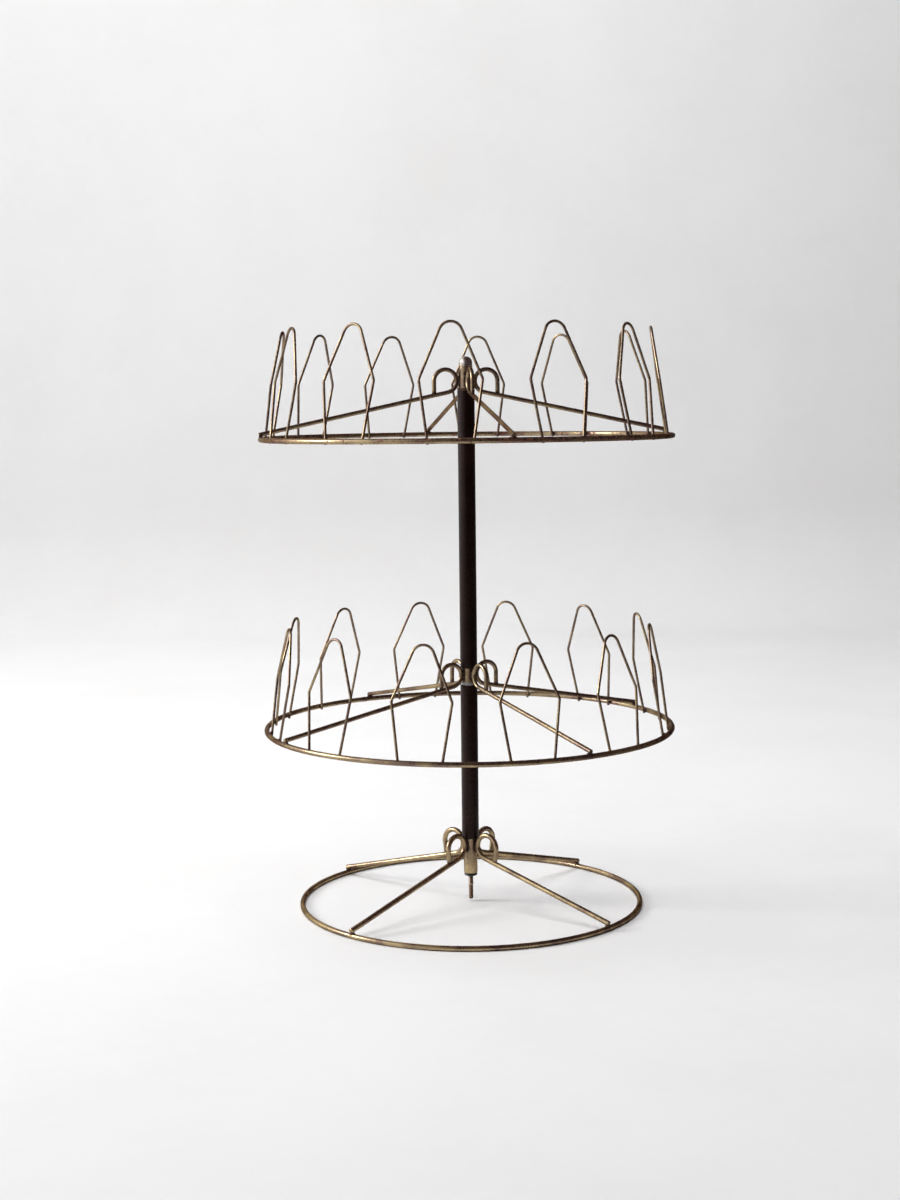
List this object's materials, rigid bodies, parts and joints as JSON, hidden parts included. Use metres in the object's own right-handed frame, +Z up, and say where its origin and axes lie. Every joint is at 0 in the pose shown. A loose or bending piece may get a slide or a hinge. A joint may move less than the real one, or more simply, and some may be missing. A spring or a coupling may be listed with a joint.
{
  "type": "two-tier revolving wire rack",
  "caption": "Two round wire tiers of upright arched loops, turning on a central pole over a round wire foot; small goods hang over the loops.",
  "frame": {"origin": "on the rack's axis, at the level of the surface that the foot ring stands on", "axes": "+Z up along the pole, which is every joint's axis; -Y is the front at rest, +X is to the right"},
  "size_m": [0.381, 0.381, 0.535],
  "materials": {
    "ring_wire": "aged brass plate on steel wire, dulled, with brown spots and rust specks",
    "spoke_wire": "aged brass plate on steel wire, satin, darker at the welds",
    "loop_wire": "aged brass plate on thin steel wire, satin, worn pale on the crowns",
    "hub_tube": "aged brass plate on tube, tarnished dark in the recesses",
    "pole": "very dark brown satin lacquer on tube, rubbed at the ends",
    "tie_rod": "brown tarnished threaded rod",
    "nickel": "polished nickel plate with fine scratches",
    "zinc_steel": "dull grey zinc plate",
    "fibre": "red-brown vulcanised fibre, matt",
    "black_bush": "glossy black moulded plastic"
  },
  "bodies": {
    "stand": {"base_ring": "ring_wire", "base_spoke_1": "spoke_wire", "base_spoke_2": "spoke_wire", "base_spoke_3": "spoke_wire", "base_spoke_4": "spoke_wire", "base_hub": "hub_tube", "bottom_bush": "black_bush", "rod_nut": "zinc_steel", "tie_rod": "tie_rod", "lower_pole": "pole", "lower_washer": "zinc_steel", "ball_nut": "nickel"},
    "lower_tier": {"lower_tier_ring": "ring_wire", "lower_tier_spoke_1": "spoke_wire", "lower_tier_spoke_2": "spoke_wire", "lower_tier_spoke_3": "spoke_wire", "lower_tier_spoke_4": "spoke_wire", "lower_tier_hub": "hub_tube", "lower_tier_loop_01": "loop_wire", "lower_tier_loop_02": "loop_wire", "lower_tier_loop_03": "loop_wire", "lower_tier_loop_04": "loop_wire", "lower_tier_loop_05": "loop_wire", "lower_tier_loop_06": "loop_wire", "lower_tier_loop_07": "loop_wire", "lower_tier_loop_08": "loop_wire", "lower_tier_loop_09": "loop_wire", "lower_tier_loop_10": "loop_wire", "lower_tier_loop_11": "loop_wire", "lower_tier_loop_12": "loop_wire", "upper_pole": "pole", "upper_washer": "fibre"},
    "upper_tier": {"upper_tier_ring": "ring_wire", "upper_tier_spoke_1": "spoke_wire", "upper_tier_spoke_2": "spoke_wire", "upper_tier_spoke_3": "spoke_wire", "upper_tier_spoke_4": "spoke_wire", "upper_tier_hub": "hub_tube", "upper_tier_loop_01": "loop_wire", "upper_tier_loop_02": "loop_wire", "upper_tier_loop_03": "loop_wire", "upper_tier_loop_04": "loop_wire", "upper_tier_loop_05": "loop_wire", "upper_tier_loop_06": "loop_wire", "upper_tier_loop_07": "loop_wire", "upper_tier_loop_08": "loop_wire", "upper_tier_loop_09": "loop_wire", "upper_tier_loop_10": "loop_wire", "upper_tier_loop_11": "loop_wire", "upper_tier_loop_12": "loop_wire", "top_bush": "hub_tube"}
  },
  "joints": [
    {"name": "lower_tier_spin", "type": "hinge", "parent": "stand", "child": "lower_tier", "pos_m": [0, 0, 0.2161], "axis": [0, 0, 1], "continuous": true},
    {"name": "upper_tier_spin", "type": "hinge", "parent": "lower_tier", "child": "upper_tier", "pos_m": [0, 0, 0.4874], "axis": [0, 0, 1], "continuous": true}
  ]
}
